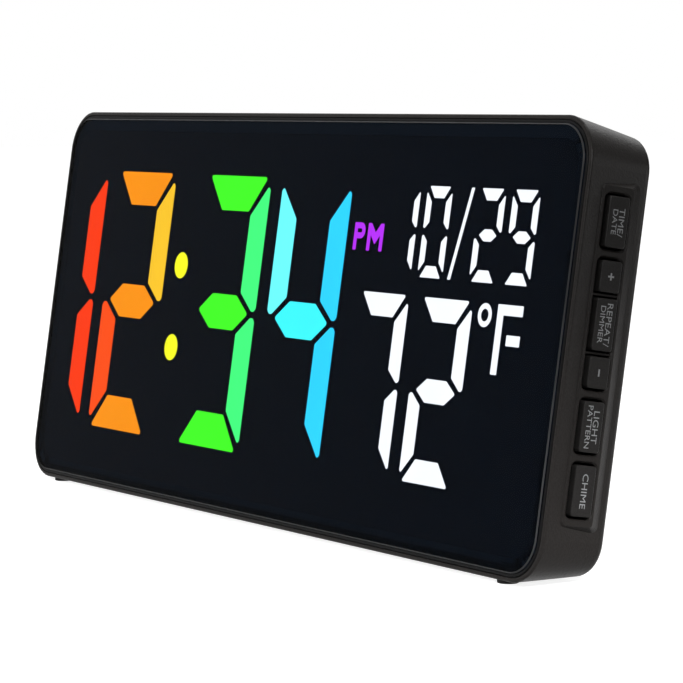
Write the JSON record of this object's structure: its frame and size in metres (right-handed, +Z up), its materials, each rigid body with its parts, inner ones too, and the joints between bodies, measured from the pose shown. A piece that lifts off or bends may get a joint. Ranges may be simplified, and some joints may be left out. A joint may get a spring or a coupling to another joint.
{
  "type": "digital clock",
  "caption": "Slim digital clock with a smoked full-front display for time, date and temperature, side keys, small feet and wall keyholes.",
  "frame": {"origin": "middle of the bounding box's underside, on the table under the feet", "axes": "+Z up; +X to the right seen from the front; the display faces -Y and leans back towards +Y"},
  "size_m": [0.2506, 0.039, 0.1037],
  "materials": {
    "case_matte": "fine matte texture",
    "bezel_gloss": "polished",
    "lens_smoked": "polished smoked acrylic",
    "tape": "matte",
    "reflector": "matte",
    "emitter": "gloss",
    "board": "solder mask",
    "chip": "moulded",
    "jack": "moulded",
    "steel": "brushed",
    "capacitor": "satin",
    "contact": "plated",
    "screw": "zinc",
    "key_matte": "fine matte texture",
    "plunger": "moulded",
    "foot_rubber": "matte",
    "light_off": "diffuse",
    "light_red": "lit resin",
    "light_vermilion": "lit resin",
    "light_orange": "lit resin",
    "light_amber": "lit resin",
    "light_yellow": "lit resin",
    "light_green": "lit resin",
    "light_mint": "lit resin",
    "light_ice": "lit resin",
    "light_cyan": "lit resin",
    "light_sky": "lit resin",
    "light_violet": "lit resin",
    "light_white": "lit resin"
  },
  "bodies": {
    "clock": {"battery_contacts": "contact", "board_header": "chip", "board_screws": "screw", "button_board": "board", "button_header": "chip", "buzzer": "chip", "case_body": "case_matte", "case_screws": "screw", "clock_crystal": "steel", "coin_cell": "steel", "colon_dots": "light_yellow", "controller_chip": "chip", "date_slash": "light_white", "day_digits": "light_white", "degree_mark": "light_white", "display_board": "board", "driver_chips": "chip", "fahrenheit_mark": "light_white", "filter_capacitor": "capacitor", "foot_front_left": "foot_rubber", "foot_front_right": "foot_rubber", "foot_rear_left": "foot_rubber", "foot_rear_right": "foot_rubber", "front_bezel": "bezel_gloss", "front_lens": "lens_smoked", "hour_ones_bars": "light_orange", "hour_ones_left": "light_vermilion", "hour_ones_right": "light_amber", "hour_tens": "light_red", "key_switches": "chip", "lens_tape": "tape", "minute_ones_bar": "light_cyan", "minute_ones_left": "light_ice", "minute_ones_right": "light_sky", "minute_tens_bars": "light_green", "minute_tens_right": "light_mint", "month_digits": "light_white", "pm_mark": "light_violet", "power_board": "board", "power_board_screws": "screw", "power_jack": "jack", "reflector_block": "reflector", "segment_leds": "emitter", "temperature_digits": "light_white", "temperature_sensor": "chip", "unlit_windows": "light_off"},
    "set_key": {"key_set": "key_matte", "plunger_set": "plunger"},
    "plus_key": {"key_plus": "key_matte", "plunger_plus": "plunger"},
    "snooze_key": {"key_snooze": "key_matte", "plunger_snooze": "plunger"},
    "minus_key": {"key_minus": "key_matte", "plunger_minus": "plunger"},
    "color_key": {"key_color": "key_matte", "plunger_color": "plunger"},
    "alarm_key": {"key_alarm": "key_matte", "plunger_alarm": "plunger"},
    "cell_cover": {"battery_cover": "case_matte"}
  },
  "joints": [
    {"name": "set_press", "type": "slide", "parent": "clock", "child": "set_key", "axis": [-1, 0, 0], "range_m": [0, 0.0008], "stiffness_N_per_m": 2000},
    {"name": "plus_press", "type": "slide", "parent": "clock", "child": "plus_key", "axis": [-1, 0, 0], "range_m": [0, 0.0008], "stiffness_N_per_m": 2000},
    {"name": "snooze_press", "type": "slide", "parent": "clock", "child": "snooze_key", "axis": [-1, 0, 0], "range_m": [0, 0.0008], "stiffness_N_per_m": 2000},
    {"name": "minus_press", "type": "slide", "parent": "clock", "child": "minus_key", "axis": [-1, 0, 0], "range_m": [0, 0.0008], "stiffness_N_per_m": 2000},
    {"name": "color_press", "type": "slide", "parent": "clock", "child": "color_key", "axis": [-1, 0, 0], "range_m": [0, 0.0008], "stiffness_N_per_m": 2000},
    {"name": "alarm_press", "type": "slide", "parent": "clock", "child": "alarm_key", "axis": [-1, 0, 0], "range_m": [0, 0.0008], "stiffness_N_per_m": 2000},
    {"name": "cover_turn", "type": "hinge", "parent": "clock", "child": "cell_cover", "pos_m": [-0.04539, 0.01373, 0.03442], "axis": [0, 0.989, -0.1478], "range_deg": [0, 45]}
  ]
}
